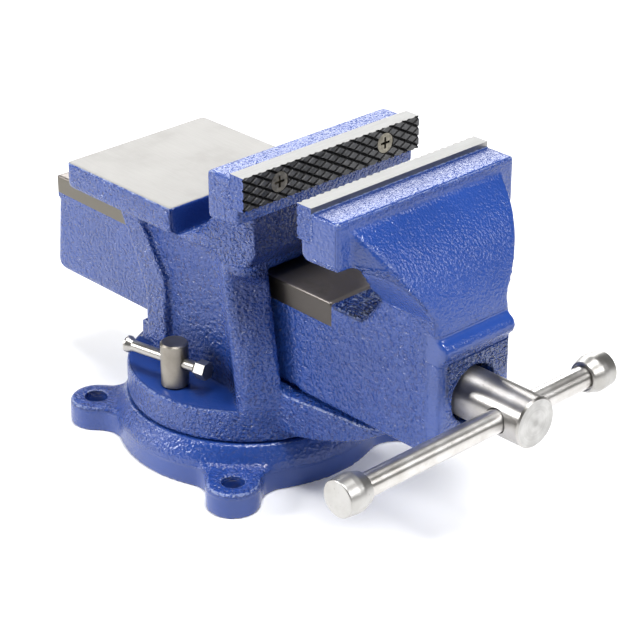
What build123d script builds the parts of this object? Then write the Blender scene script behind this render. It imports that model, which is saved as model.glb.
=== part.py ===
"""Bench vise with 100 mm jaws on a swivel base, as separate castings, screws and loose pieces.

Millimetres. The origin is on the bench, on the swivel axis. X points along the slide to the user,
Y along the jaws and Z up.
"""
import math
import os

from build123d import *

# Fits
running = 0.08              # radial play of a turning or sliding shaft
screw_play = 0.05           # radial play of a screw in its tapped hole
way_play = 0.15             # play of the slide in its ways, on each face
thread_play = 0.35          # play all round the spindle's thread
swivel_gap = 0.2            # parting line of the swivel

# Swivel base
base_radius = 60.0
base_wall_height = 13.0     # straight wall, below the sloping shoulder
base_height = 21.0
base_top_radius = 56.0
base_shoulder_round = 3.0
base_top_round = 1.0
bolt_circle_diameter = 142.0
lug_count = 4
lug_first_angle = 42.3      # the base stands a little turned under the jaws
lug_end_radius = 12.0
lug_height = 12.0
lug_edge_round = 2.0
lug_neck_round = 12.0
neck_share = 0.95           # most of the room beside a lug that its round takes
bench_bolt_radius = 5.0
pivot_radius = 15.0
pivot_height = 7.5
base_hollow_inner = 18.0    # ring-shaped hollow under the base
base_hollow_outer = 32.0
base_hollow_depth = 10.0

# Ring of the T-slot and the two swivel locks in it
lock_circle_radius = 43.5
lock_stud_radius = 4.0
lock_stud_hole_play = 0.4
lock_head_side = 13.0
lock_head_height = 6.0
slot_floor = 6.5
slot_lip = 7.0              # thickness of the slot's lips
slot_play = 0.8
lock_nut_radius = 6.2
lock_nut_height = 20.9
lock_nut_chamfer = 0.7
lock_nut_seat_gap = 0.1
lock_bar_radius = 2.5
lock_bar_play = 0.3
lock_bar_stud_gap = 0.5     # over the end of the stud
lock_bar_height = 11.9      # bar's axis above the ledge
lock_bar_angle = 10.8       # turn of the bar from the X axis at rest
lock_bar_front = 18.5       # reach of the hexagon end from the stud's axis
lock_bar_back = 26.5        # reach of the flared end
lock_hex_across = 7.4
lock_hex_length = 5.0
lock_neck_radius = 2.0
lock_neck_length = 1.6
lock_flare_radius = 3.8
lock_flare_length = 3.4
lock_flare_rim = 0.8

# Fixed jaw: foot, trunk, ribs and nose
foot_radius = 55.2
foot_edge_round = 1.5
ledge_top = 37.0
trunk_top = 106.0
trunk_rear = -34.0
wall_half = 28.7            # outer face of the side walls
column_half_low = 38.5      # front columns at the foot; at the top they are as wide as the neck
column_root_low = 25.0
column_root_high = 13.0
column_back_low = 37.0
column_back_high = 24.0
column_front_low = 53.0
column_front_high = 41.0
column_root_round = 12.0
column_back_round = 5.0
column_front_round = 8.0
rear_top = -50.0            # rear end of the trunk under the anvil
rear_bend_height = 69.0     # where the rear edge starts to slant out
rear_slant_top = 101.0
rib_width = 14.0
rib_height = 2.9
rib_foot = 43.0
floor_rear = -45.0
floor_half = 26.0
nose_reach = 106.0
nose_root = 40.0
nose_root_half = 28.0
nose_tip_half = 19.0
nose_tip_round = 14.0
nose_under_start = 58.0
nose_under_height = 27.0
nose_under_mid = 88.0
nose_under_mid_height = 35.5
nose_gap = 1.0              # between the nose and the slide above it

# Anvil and jaw head
anvil_rear = -76.0
anvil_front = -3.8
anvil_half = 40.4
anvil_top = 118.4
anvil_thickness = 12.4
anvil_edge_round = 2.4
anvil_under_round = 2.0
neck_half = 37.0
neck_front = 47.0
saddle_start_height = 109.0
saddle_mid = 20.0
saddle_mid_height = 116.0
roof_front = 38.0           # front of the roof over the slide, hollowed back under the plate
roof_front_height = 99.0
neck_front_bottom = 112.0
neck_bottom = 104.5
jaw_width = 100.0
jaw_top = 153.4             # top of the jaw plates
jaw_head_height = 21.7      # casting of a jaw, from its underside to its top
jaw_head_depth = 14.5       # casting behind the plate
jaw_head_round = 2.0
fixed_grip = 55.0           # gripping face of the fixed plate
opening = 31.5              # gap between the plates at rest

# Jaw plates and their screws
plate_height = 14.8
plate_thickness = 8.0
plate_proud = 2.2           # plate above the casting
plate_lead = 3.6            # fixed plate in front of the ledge it stands on
moving_plate_lead = 2.0     # and the moving plate
groove_pitch = 7.7
groove_angle = 29.0
groove_depth = 0.8
groove_half_width = 0.7
groove_cutter_spread = 1.25  # the cutter's width to the groove's, so that it stands clear of the face
plate_screw_spacing = 60.0
plate_screw_drop = 7.0      # below the top of the plate
plate_screw_radius = 2.5
plate_screw_length = 17.0
plate_screw_room = 1.0      # hole past the end of the screw
plate_screw_head_radius = 4.4
plate_screw_head_height = 2.4
plate_screw_sink = 0.3
plate_hole_play = 0.3
recess_length = 5.2
recess_width = 1.1
recess_depth = 1.7

# Slide and moving jaw
slide_half = 20.5           # cast side of the slide
slide_bottom = 46.5
slide_rear = -115.3
slide_rear_draft = 4.0
slide_edge_round = 3.5
slide_rear_round = 5.0
strip_half = 21.0           # machined ways along the top of the slide
strip_top = 96.0
strip_height = 11.0
strip_rear = -110.0
strip_front = 75.0
scoop_drop = 1.5            # cast floor in front of the machined top
throat_front = 113.0        # top of the hollow back of the upright, under the cross bar
throat_length = 20.7        # from there back to the foot of the hollow
throat_hollow = 3.25        # of the upright's back behind its chord
cavity_half = 12.2
cavity_top = 84.5
cavity_front = 108.0
block_front = 137.4
flare_root = 55.0
flare_half = 42.5
flare_crease = 107.5        # height where the sides start to lean out
flare_drop = 4.2            # top of the flared sides, below the top of the casting
flare_wall = 19.0           # upright part of the flared sides, at the cross bar
flare_wall_front = 1.0      # the same at the front, where the underside is steeper
flare_swell = 3.5           # of the flared sides' plan past their chord
bulge_drop = 5.2            # top of the round front, below the top of the casting
bulge_front = 136.5
bulge_bottom = 100.0
bulge_swell = 6.18          # of the round front past its chord
bar_front = 109.5
bar_bottom_round = 4.0
bar_bottom_rise = 1.0       # of the bar's underside, from back to front
front_lip_radius = 4.5
front_lip_height = 95.5
front_lip_back = 136.0
relief_half = 24.0          # cast sides of the channel in the fixed jaw, clear of the slide
mouth_depth = 7.0
mouth_half = 24.6

# Spindle, its nut and the handle
spindle_height = 70.3
thread_radius = 9.0
thread_pitch = 5.0
thread_core_radius = 6.6
thread_root_width = 3.4
thread_crest_width = 1.7
thread_rear = -85.0
thread_length = 169.0
thread_bury = 0.4           # depth of the ridge in the core
thread_spare_turns = 2      # turns of the nut's thread cut past each of its ends
head_radius = 11.0
head_past_hole = 12.2       # spindle head past the handle's axis
head_chamfer = 0.8
head_pocket_play = 1.6
head_pocket_depth = 10.4
washer_thickness = 1.8
washer_gap = 0.2
washer_radius = 11.8
spring_wire_radius = 0.9
spring_radius = 10.4
spring_turns = 4.0
spring_seat = 0.3
keeper_washer_front = 94.0
split_pin_radius = 1.5
split_pin_reach = 11.6
split_pin_end_round = 0.7
split_pin_gap = 0.4
handle_hole = 158.3
handle_radius = 5.0
handle_hole_play = 0.45
handle_left = 96.5
handle_right = 55.0
cap_length = 13.0
cap_radius = 8.2
cap_end_radius = 7.7
cap_neck_radius = 6.6
cap_belly_start = 5.2       # widest stretch, from the flat end
cap_belly_end = 7.8
cap_belly_round = 4.0
cap_end_round = 0.6
cap_neck_round = 1.0
cap_wall = 3.0              # blind end of the cap over the bar
cap_mouth_play = 0.7
cap_mouth_depth = 1.0
nut_half = 10.5
nut_top_round = 5.0
nut_length = 40.0
nut_wall = 3.0              # over the thread
nut_bolt_radius = 5.0
nut_bolt_across = 16.0
nut_bolt_head = 6.4
nut_bolt_end = 57.0
nut_bolt_room = 1.0         # hole past the end of the bolt
nut_bolt_hole_play = 0.3
nut_washer_radius = 10.0
nut_washer_thickness = 1.6
nut_washer_seat = 38.0
nut_pocket_radius = 11.5

# Places that follow from the sizes above
foot_bottom = base_height + swivel_gap
slot_top = base_height - slot_lip
moving_grip = fixed_grip + opening
plate_bottom = jaw_top - plate_height
casting_top = jaw_top - plate_proud
jaw_head_bottom = casting_top - jaw_head_height
flare_top = casting_top - flare_drop
bulge_top = casting_top - bulge_drop
fixed_plate_back = fixed_grip - plate_thickness
moving_plate_back = moving_grip + plate_thickness
fixed_head_rear = fixed_plate_back - jaw_head_depth
channel_floor = slide_bottom - way_play
strip_bottom = strip_top - strip_height
way_bottom = strip_bottom - nose_gap
plate_screw_height = jaw_top - plate_screw_drop
thread_front = thread_rear + thread_length
pocket_floor = block_front - head_pocket_depth
head_back = pocket_floor + washer_thickness + 2 * washer_gap
head_end = handle_hole + head_past_hole
anvil_bottom = anvil_top - anvil_thickness
past = 5.0                  # how far a cut runs past the face it opens


def box_between(x_span, y_span, z_span):
    """A box from its spans along the three axes."""
    spans = (x_span, y_span, z_span)
    middle = [(low + high) / 2 for low, high in spans]
    return Pos(*middle) * Box(*[high - low for low, high in spans])


def rod(radius, start, end, axis="Z", at=(0, 0)):
    """A cylinder from start to end along one axis; at gives its place on the other two."""
    cylinder = Cylinder(radius, end - start, align=(Align.CENTER, Align.CENTER, Align.MIN))
    if axis == "X":
        return Pos(start, at[0], at[1]) * Rot(0, 90, 0) * cylinder
    if axis == "Y":
        return Pos(at[0], start, at[1]) * Rot(-90, 0, 0) * cylinder
    return Pos(at[0], at[1], start) * cylinder


def ring(inner, outer, start, end, axis="Z", at=(0, 0)):
    """A cylinder with a hole right through it."""
    return rod(outer, start, end, axis, at) - rod(inner, start, end, axis, at)


def outline(points, rounds=None):
    """A closed flat outline; rounds gives the radius of each corner that is rounded, by number."""
    rounds = rounds or {}
    radii = [rounds.get(number, 0) for number in range(len(points))]
    return make_face(FilletPolyline(*points, radius=radii, close=True))


def across(face, half_width):
    """A side view (X, Z) made solid to the same width on both sides of the middle."""
    return extrude(Plane.XZ * face, amount=half_width, both=True)


def swivel_base():
    """The round bench plate: bolt lugs, T-slot ring and pivot."""
    plan = Circle(base_radius)
    bolt_places = PolarLocations(bolt_circle_diameter / 2, lug_count, lug_first_angle)
    for place in bolt_places:
        arm = Pos(-bolt_circle_diameter / 4, 0) * Rectangle(bolt_circle_diameter / 2, 2 * lug_end_radius)
        plan += place * (Circle(lug_end_radius) + arm)
    necks = plan.vertices().filter_by(lambda v: abs(math.hypot(v.X, v.Y) - base_radius) < 0.01)
    # Largest round that still ends on the straight side of a lug
    neck_room = (bolt_circle_diameter ** 2 / 4 - base_radius ** 2 + lug_end_radius ** 2) / (
        2 * (base_radius - lug_end_radius))
    plan = fillet(necks, min(lug_neck_round, neck_share * neck_room))
    lugs = extrude(plan, amount=lug_height)
    lugs = fillet(lugs.edges().group_by(Axis.Z)[-1], lug_edge_round)

    profile = outline(
        [(0, 0), (base_radius, 0), (base_radius, base_wall_height), (base_top_radius, base_height),
         (0, base_height)],
        {2: base_shoulder_round, 3: base_top_round},
    )
    base = lugs + revolve(Plane.XZ * profile, Axis.Z)
    base += rod(pivot_radius, base_wall_height, base_height + pivot_height)

    neck_half_width = lock_stud_radius + slot_play
    base -= ring(lock_circle_radius - neck_half_width, lock_circle_radius + neck_half_width,
                 slot_floor, base_height + past)
    head_half_width = lock_head_side / 2 + slot_play
    corner_reach = math.hypot(lock_circle_radius + head_half_width, lock_head_side / 2)
    base -= ring(lock_circle_radius - head_half_width, corner_reach, slot_floor, slot_top)
    # Way in for the stud heads, at the back of the ring
    base -= box_between((-lock_circle_radius - head_half_width, -lock_circle_radius + head_half_width),
                        (-head_half_width, head_half_width), (slot_floor, base_height + past))
    base -= ring(base_hollow_inner, base_hollow_outer, -past, base_hollow_depth)
    for place in bolt_places:
        base -= place * rod(bench_bolt_radius, -past, lug_height + past)
    return base


def trunk_section(height, root, back, front, half):
    """Plan of the trunk at one height: side walls with a wider column at the front."""
    points = [
        (trunk_rear, -wall_half), (root, -wall_half), (back, -half), (front, -half),
        (front, half), (back, half), (root, wall_half), (trunk_rear, wall_half),
    ]
    rounds = {
        1: column_root_round, 2: column_back_round, 3: column_front_round,
        4: column_front_round, 5: column_back_round, 6: column_root_round,
    }
    return Plane.XY.offset(height) * outline(points, rounds)


def trunk():
    """Side walls and front columns, from inside the foot up to the anvil."""
    low = trunk_section(foot_bottom + foot_edge_round, column_root_low, column_back_low,
                        column_front_low, column_half_low)
    high = trunk_section(trunk_top, column_root_high, column_back_high,
                         column_front_high, neck_half)
    return loft([low, high], ruled=True) & rod(foot_radius, foot_bottom, trunk_top)


def rear_ribs():
    """Raised bands down the rear edges of the side walls, slanting out to the anvil."""
    points = [
        (trunk_rear, rib_foot), (trunk_rear, rear_bend_height), (rear_top, rear_slant_top),
        (rear_top, trunk_top), (rear_top + rib_width, trunk_top), (rear_top + rib_width, rear_slant_top),
        (trunk_rear + rib_width, rear_bend_height + rib_width / 2), (trunk_rear + rib_width, rib_foot),
    ]
    gusset = [points[1], points[2], points[3], (0, trunk_top), (0, rear_bend_height)]
    return across(outline(points), wall_half + rib_height) + across(outline(gusset), wall_half)


def nose():
    """Tongue under the slide in front of the foot: narrowing in plan and rising to its tip."""
    top = channel_floor - nose_gap
    side = [
        Polyline((nose_reach, top), (0, top), (0, nose_under_height), (nose_under_start, nose_under_height)),
        ThreePointArc((nose_under_start, nose_under_height), (nose_under_mid, nose_under_mid_height),
                      (nose_reach, top)),
    ]
    plan = outline(
        [(0, -nose_root_half), (nose_root, -nose_root_half), (nose_reach, -nose_tip_half),
         (nose_reach, nose_tip_half), (nose_root, nose_root_half), (0, nose_root_half)],
        {2: nose_tip_round, 3: nose_tip_round},
    )
    return across(make_face(side), foot_radius) & extrude(plan, amount=jaw_top)


def anvil():
    """Flat work block behind the jaw, with the roof under it carried back."""
    block = box_between((anvil_rear, anvil_front), (-anvil_half, anvil_half), (anvil_bottom, anvil_top))
    block = fillet(block.edges().filter_by(Axis.Z), anvil_edge_round)
    block = fillet(block.faces().sort_by(Axis.Z)[0].edges(), anvil_under_round)
    carrier = [(rear_top, rear_slant_top), (anvil_rear + rib_width, trunk_top), (0, trunk_top),
               (0, rear_slant_top)]
    return block + across(outline(carrier), wall_half)


def saddle():
    """Neck between the anvil, the trunk and the jaw head, hollowed to a curve on top."""
    top = jaw_head_bottom + jaw_head_round
    inside_anvil = anvil_front - past
    side = [
        Polyline((fixed_head_rear, top), (neck_front, top), (neck_front, neck_front_bottom),
                 (column_front_high, neck_bottom), (inside_anvil, neck_bottom),
                 (inside_anvil, saddle_start_height), (anvil_front, saddle_start_height)),
        ThreePointArc((anvil_front, saddle_start_height), (saddle_mid, saddle_mid_height),
                      (fixed_head_rear, top)),
    ]
    return across(make_face(side), neck_half)


def fixed_jaw_head():
    """Cross bar of the fixed jaw, with the ledge that its plate stands on."""
    ledge_front = fixed_grip - plate_lead
    points = [
        (fixed_head_rear, jaw_head_bottom), (ledge_front, jaw_head_bottom + jaw_head_round),
        (ledge_front, plate_bottom), (fixed_plate_back, plate_bottom),
        (fixed_plate_back, casting_top), (fixed_head_rear, casting_top),
    ]
    return across(outline(points, {0: jaw_head_round, 5: jaw_head_round}), jaw_width / 2)


def plate_screw_holes(plate_back, direction):
    """Tapped holes behind a plate; direction is the way in, along X."""
    holes = Part()
    for side in (-1, 1):
        depth = plate_screw_length - plate_thickness + plate_screw_room
        ends = sorted((plate_back - direction * past, plate_back + direction * depth))
        holes += rod(plate_screw_radius + screw_play, *ends, axis="X",
                     at=(side * plate_screw_spacing / 2, plate_screw_height))
    return holes


def fixed_jaw_body():
    """The fixed jaw casting: foot, trunk, anvil, saddle and jaw head round the slide's channel."""
    foot = rod(foot_radius, foot_bottom, ledge_top)
    foot = fillet(foot.edges().filter_by(GeomType.CIRCLE), foot_edge_round)
    body = foot + trunk() + nose()
    body += box_between((floor_rear, 0), (-floor_half, floor_half),
                        (foot_bottom + foot_edge_round, channel_floor))
    body += rear_ribs() + anvil() + saddle() + fixed_jaw_head()

    channel = (anvil_rear - past, nose_reach + past)
    body -= box_between(channel, (-relief_half, relief_half), (channel_floor, way_bottom))
    way_half = strip_half + way_play
    body -= box_between(channel, (-way_half, way_half), (way_bottom, strip_top + way_play))
    mouth_back = column_front_high - mouth_depth
    mouth = [
        (mouth_back, channel_floor), (mouth_back, strip_top + 2 * way_play), (roof_front, roof_front_height),
        (neck_front, neck_front_bottom), (nose_reach, neck_front_bottom), (nose_reach, channel_floor),
    ]
    body -= across(outline(mouth), mouth_half)
    body -= rod(pivot_radius + running, foot_bottom - past, base_height + pivot_height + swivel_gap)
    body -= rod(nut_pocket_radius, foot_bottom - past, nut_washer_seat)
    body -= rod(nut_bolt_radius + nut_bolt_hole_play, foot_bottom, channel_floor + past)
    for side in (-1, 1):
        body -= rod(lock_stud_radius + lock_stud_hole_play, foot_bottom - past, ledge_top + past,
                    at=(0, side * lock_circle_radius))
    return body - plate_screw_holes(fixed_plate_back, -1)


def slide():
    """Rear of the moving jaw: a drafted, round-edged bar with machined ways along its top."""
    body_points = [
        (slide_rear + slide_rear_draft, strip_bottom), (slide_rear, slide_bottom),
        (flare_root + past, slide_bottom), (flare_root + past, strip_bottom),
    ]
    body = across(outline(body_points, {1: slide_rear_round}), slide_half)
    body = fillet(body.edges().filter_by(Axis.X).group_by(Axis.Z)[0], slide_edge_round)
    ways = box_between((strip_rear, strip_front), (-strip_half, strip_half), (strip_bottom, strip_top))
    return body + ways


def flare_section(x, wall):
    """Front view of the moving jaw at one place: straight, leaning out from the crease, then upright."""
    points = [
        (-slide_half, slide_bottom), (slide_half, slide_bottom), (slide_half, flare_crease),
        (flare_half, flare_top - wall), (flare_half, flare_top), (-flare_half, flare_top),
        (-flare_half, flare_top - wall), (-slide_half, flare_crease),
    ]
    return Plane.YZ.offset(x) * outline(points)


def flare_plan():
    """Top view of the moving jaw's front: full width behind the cross bar, drawn in to the round front."""
    edges = [
        Polyline((bulge_front, -slide_half), (block_front, -slide_half), (block_front, slide_half),
                 (bulge_front, slide_half)),
        SagittaArc((bulge_front, slide_half), (bar_front, flare_half), -flare_swell),
        Polyline((bar_front, flare_half), (flare_root, flare_half), (flare_root, -flare_half),
                 (bar_front, -flare_half)),
        SagittaArc((bar_front, -flare_half), (bulge_front, -slide_half), -flare_swell),
    ]
    return make_face(edges)


def moving_front():
    """Front block and flared upright of the moving jaw, with its hollow back and round front."""
    scoop = strip_top - scoop_drop
    bar_underside = jaw_head_bottom + bar_bottom_rise
    throat_foot = throat_front - throat_length
    side = [
        Polyline((bar_front, bulge_top), (moving_plate_back, bulge_top), (moving_plate_back, bar_underside),
                 (throat_front, bar_underside)),
        SagittaArc((throat_front, bar_underside), (throat_foot, scoop), throat_hollow),
        Polyline((throat_foot, scoop), (flare_root, scoop), (flare_root, slide_bottom),
                 (block_front, slide_bottom), (block_front, front_lip_height), (bulge_front, bulge_bottom)),
        SagittaArc((bulge_front, bulge_bottom), (bar_front, bulge_top), -bulge_swell),
    ]
    sections = [flare_section(flare_root, flare_wall), flare_section(bar_front, flare_wall),
                flare_section(block_front, flare_wall_front)]
    front = loft(sections, ruled=True)
    front &= extrude(Pos(0, 0, slide_bottom) * flare_plan(), amount=casting_top)
    front &= across(make_face(side), jaw_width)
    lip_at = (front_lip_back, front_lip_height)
    return front + rod(front_lip_radius, -slide_half, slide_half, axis="Y", at=lip_at)


def moving_jaw_head():
    """Cross bar of the moving jaw, with the ledge that its plate stands on."""
    ledge_back = moving_grip + moving_plate_lead
    points = [
        (ledge_back, jaw_head_bottom), (bar_front, jaw_head_bottom + bar_bottom_rise),
        (bar_front, casting_top), (moving_plate_back, casting_top), (moving_plate_back, plate_bottom),
        (ledge_back, plate_bottom),
    ]
    return across(outline(points, {0: bar_bottom_round}), jaw_width / 2)


def moving_jaw():
    """The moving jaw casting with its slide, hollow for the spindle and nut."""
    body = slide() + moving_front() + moving_jaw_head()
    body -= box_between((slide_rear - past, cavity_front), (-cavity_half, cavity_half),
                        (slide_bottom - past, cavity_top))
    axis_at = (0, spindle_height)
    body -= rod(thread_radius + running, cavity_front - past, block_front + past, axis="X", at=axis_at)
    body -= rod(head_radius + head_pocket_play, pocket_floor, block_front + 2 * past, axis="X", at=axis_at)
    return body - plate_screw_holes(moving_plate_back, 1)


def jaw_plate(grip, outward):
    """A hardened plate with crossed V grooves; outward is the way its gripping face looks."""
    back = grip - outward * plate_thickness
    plate = box_between(sorted((grip, back)), (-jaw_width / 2, jaw_width / 2), (plate_bottom, jaw_top))
    middle = (plate_bottom + jaw_top) / 2
    count = int((jaw_width / 2 + plate_height) / groove_pitch) + 1
    slope = math.radians(groove_angle)
    clear = outward * groove_depth * (groove_cutter_spread - 1)
    cutter_half = groove_half_width * groove_cutter_spread
    vee = outline([(clear, -cutter_half), (-outward * groove_depth, 0), (clear, cutter_half)])
    grooves = []
    for lean in (-1, 1):
        along = (0, math.cos(slope), lean * math.sin(slope))
        for number in range(-count, count + 1):
            place = Plane((grip, number * groove_pitch, middle), x_dir=(1, 0, 0), z_dir=along)
            grooves.append(extrude(place * vee, amount=2 * plate_height, both=True))
    plate -= grooves
    for side in (-1, 1):
        at = (side * plate_screw_spacing / 2, plate_screw_height)
        ends = sorted((back - outward * past, grip + outward * past))
        plate -= rod(plate_screw_radius + plate_hole_play, *ends, axis="X", at=at)
        plate -= screw_cone(grip, outward, at, plate_hole_play)
    return plate


def screw_cone(grip, outward, at, play):
    """Countersunk head of a plate screw, grown by play to make its seat."""
    top = plate_screw_head_radius + play
    points = [(0, -plate_screw_head_height), (plate_screw_radius + play, -plate_screw_head_height), (top, 0)]
    if play:
        points.append((top, past))
    points.append((0, points[-1][1]))
    head = revolve(Plane.XZ * outline(points), Axis.Z)
    return Pos(grip - outward * plate_screw_sink, *at) * Rot(0, outward * 90, 0) * head


def plate_screws(grip, outward):
    """The two countersunk cross-recessed screws of one plate."""
    screws = []
    for side in (-1, 1):
        at = (side * plate_screw_spacing / 2, plate_screw_height)
        face = grip - outward * plate_screw_sink
        ends = sorted((face - outward, face - outward * plate_screw_length))
        screw = screw_cone(grip, outward, at, 0) + rod(plate_screw_radius, *ends, axis="X", at=at)
        for length, width in ((recess_length, recess_width), (recess_width, recess_length)):
            slot = Box(2 * recess_depth, length, width)
            screw -= Pos(face, *at) * slot
        screws.append(screw.solid())
    return Compound(screws)


def thread_ridge(play, start, turns):
    """Trapezoidal right-hand thread along X, grown by play on every face."""
    inner = thread_core_radius - thread_bury
    reach = thread_radius + play - inner
    root = thread_root_width / 2 + play
    crest = thread_crest_width / 2 + play
    path = Helix(thread_pitch, thread_pitch * turns, inner)
    place = Plane(origin=path @ 0, x_dir=(1, 0, 0), z_dir=path % 0)
    section = place * outline([(0, -root), (reach, -crest), (reach, crest), (0, root)])
    ridge = sweep(section, path=path, is_frenet=True)
    return Pos(start, 0, spindle_height) * Rot(0, 90, 0) * ridge


def spindle():
    """The main screw: thread, plain journal and the round head with the handle's hole."""
    axis_at = (0, spindle_height)
    turns = math.floor(thread_length / thread_pitch) - 1
    screw = rod(thread_core_radius, thread_rear, thread_front, axis="X", at=axis_at)
    screw += thread_ridge(0, thread_rear + thread_pitch / 2, turns)
    head = rod(head_radius, head_back, head_end, axis="X", at=axis_at)
    head = chamfer(head.edges().filter_by(GeomType.CIRCLE).sort_by(Axis.X)[-1], head_chamfer)
    journal = rod(thread_radius, thread_front, head_back, axis="X", at=axis_at)
    screw += journal + head
    pin_place = (keeper_pin_place(), 0)
    screw -= rod(split_pin_radius + screw_play, spindle_height - head_radius, spindle_height + head_radius,
                 at=pin_place)
    return screw - rod(handle_radius + handle_hole_play, -2 * head_radius, 2 * head_radius, axis="Y",
                       at=(handle_hole, spindle_height))


def keeper_pin_place():
    """Place of the split pin along the spindle, just behind the keeper washer."""
    return keeper_washer_front - washer_thickness - split_pin_gap - split_pin_radius


def return_spring():
    """Coil spring between the keeper washer and the moving jaw, just clear of both."""
    start = keeper_washer_front + spring_wire_radius + spring_seat
    end = cavity_front - spring_wire_radius - spring_seat
    path = Helix((end - start) / spring_turns, end - start, spring_radius)
    place = Plane(origin=path @ 0, z_dir=path % 0)
    coil = sweep(place * Circle(spring_wire_radius), path=path, is_frenet=True)
    return Pos(start, 0, spindle_height) * Rot(0, 90, 0) * coil


def split_pin():
    """Pin through the spindle that keeps the washer and spring on it."""
    low, high = spindle_height - split_pin_reach, spindle_height + split_pin_reach
    pin = rod(split_pin_radius, low, high, at=(keeper_pin_place(), 0))
    return fillet(pin.edges().filter_by(GeomType.CIRCLE), split_pin_end_round)


def main_nut():
    """Block on the channel's floor that the spindle screws through."""
    top = spindle_height + thread_radius + thread_play + nut_wall
    nut = box_between((-nut_length / 2, nut_length / 2), (-nut_half, nut_half), (channel_floor, top))
    nut = fillet(nut.edges().filter_by(Axis.X).group_by(Axis.Z)[-1], nut_top_round)
    # The cut starts a whole number of turns along the spindle's own thread
    before = math.ceil((-nut_length / 2 - thread_rear) / thread_pitch) - thread_spare_turns
    start = thread_rear + thread_pitch / 2 + before * thread_pitch
    turns = math.ceil(nut_length / thread_pitch) + 2 * thread_spare_turns
    screw = rod(thread_core_radius + thread_play, -nut_length, nut_length, axis="X", at=(0, spindle_height))
    nut -= screw + thread_ridge(thread_play, start, turns)
    return nut - rod(nut_bolt_radius + screw_play, channel_floor - past, nut_bolt_end + nut_bolt_room)


def nut_bolt():
    """Hexagon bolt from under the foot that holds the nut down."""
    seat = nut_washer_seat - nut_washer_thickness
    head = extrude(Plane.XY.offset(seat) * RegularPolygon(nut_bolt_across / 2, 6, major_radius=False),
                   amount=-nut_bolt_head)
    return head + rod(nut_bolt_radius, seat, nut_bolt_end)


def handle_cap(side):
    """Steel knob on one end of the handle; side is the way it looks along Y."""
    points = [
        (0, 0), (cap_end_radius, 0), (cap_radius, cap_belly_start), (cap_radius, cap_belly_end),
        (cap_neck_radius, cap_length), (0, cap_length),
    ]
    rounds = {1: cap_end_round, 2: cap_belly_round, 3: cap_belly_round, 4: cap_neck_round}
    cap = revolve(Plane.XZ * outline(points, rounds), Axis.Z)
    bore = handle_radius + screw_play
    cap -= rod(bore, cap_wall, cap_length + past)
    cap -= rod(handle_radius + cap_mouth_play, cap_length - cap_mouth_depth, cap_length + past)
    end = handle_right if side > 0 else -handle_left
    return Pos(handle_hole, end, spindle_height) * Rot(side * 90, 0, 0) * cap


def handle_bar():
    """Sliding bar through the spindle's head."""
    return rod(handle_radius, cap_wall - handle_left, handle_right - cap_wall, axis="Y",
               at=(handle_hole, spindle_height))


def lock_stud():
    """T-headed stud of the left lock, from the base's slot up into the lock nut."""
    head_top = slot_top - swivel_gap
    half = lock_head_side / 2
    stud = box_between((-half, half), (-lock_circle_radius - half, -lock_circle_radius + half),
                       (head_top - lock_head_height, head_top))
    top = ledge_top + lock_bar_height - lock_bar_radius - lock_bar_stud_gap
    return stud + rod(lock_stud_radius, head_top, top, at=(0, -lock_circle_radius))


def on_left_lock(solid):
    """A piece made along X about the left lock's axis, turned to the bar's rest angle and put there."""
    return Pos(0, -lock_circle_radius, ledge_top + lock_bar_height) * Rot(0, 0, lock_bar_angle) * solid


def lock_nut():
    """Tall round nut of the left lock, cross-drilled for its bar."""
    bottom = lock_nut_seat_gap - lock_bar_height
    top = bottom + lock_nut_height
    nut = rod(lock_nut_radius, bottom, top)
    nut = chamfer(nut.edges().filter_by(GeomType.CIRCLE), lock_nut_chamfer)
    nut -= rod(lock_stud_radius + running, bottom - past, 0)
    nut -= rod(lock_bar_radius + lock_bar_play, -2 * lock_nut_radius, 2 * lock_nut_radius, axis="X")
    return on_left_lock(nut)


def lock_bar():
    """Short bar through the left lock nut: hexagon end in front, flared end behind."""
    hex_back = lock_bar_front - lock_hex_length
    neck_back = hex_back - lock_neck_length
    flare_back = lock_flare_length - lock_bar_back
    hexagon = Plane.YZ.offset(hex_back) * RegularPolygon(lock_hex_across / 2, 6, major_radius=False)
    bar = extrude(hexagon, amount=lock_hex_length)
    bar += rod(lock_neck_radius, neck_back, hex_back, axis="X")
    bar += rod(lock_bar_radius, flare_back, neck_back, axis="X")
    cone_end = lock_flare_rim - lock_bar_back
    cone = [(flare_back, 0), (flare_back, lock_bar_radius), (cone_end, lock_flare_radius),
            (-lock_bar_back, lock_flare_radius), (-lock_bar_back, 0)]
    bar += revolve(Plane.XZ * outline(cone), Axis.X)
    return on_left_lock(bar)


def build():
    """Every node of the vise, by name."""
    axis_at = (0, spindle_height)
    nodes = {
        "swivel_base": swivel_base(),
        "fixed_jaw_body": fixed_jaw_body(),
        "fixed_jaw_plate": jaw_plate(fixed_grip, 1),
        "fixed_plate_screws": plate_screws(fixed_grip, 1),
        "moving_jaw": moving_jaw(),
        "moving_jaw_plate": jaw_plate(moving_grip, -1),
        "moving_plate_screws": plate_screws(moving_grip, -1),
        "main_nut": main_nut(),
        "nut_bolt": nut_bolt(),
        "nut_bolt_washer": ring(nut_bolt_radius + nut_bolt_hole_play, nut_washer_radius,
                                nut_washer_seat - nut_washer_thickness, nut_washer_seat),
        "spindle": spindle(),
        "thrust_washer": ring(thread_radius + running, washer_radius, pocket_floor + washer_gap,
                              pocket_floor + washer_gap + washer_thickness, "X", axis_at),
        "keeper_washer": ring(thread_radius + running, washer_radius, keeper_washer_front - washer_thickness,
                              keeper_washer_front, "X", axis_at),
        "return_spring": return_spring(),
        "split_pin": split_pin(),
        "handle_bar": handle_bar(),
        "handle_cap_left": handle_cap(-1),
        "handle_cap_right": handle_cap(1),
    }
    for name, left in (("lock_stud", lock_stud()), ("lock_nut", lock_nut()), ("lock_bar", lock_bar())):
        nodes[name + "_left"] = left
        nodes[name + "_right"] = mirror(left, about=Plane.XZ)
    return nodes


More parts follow.
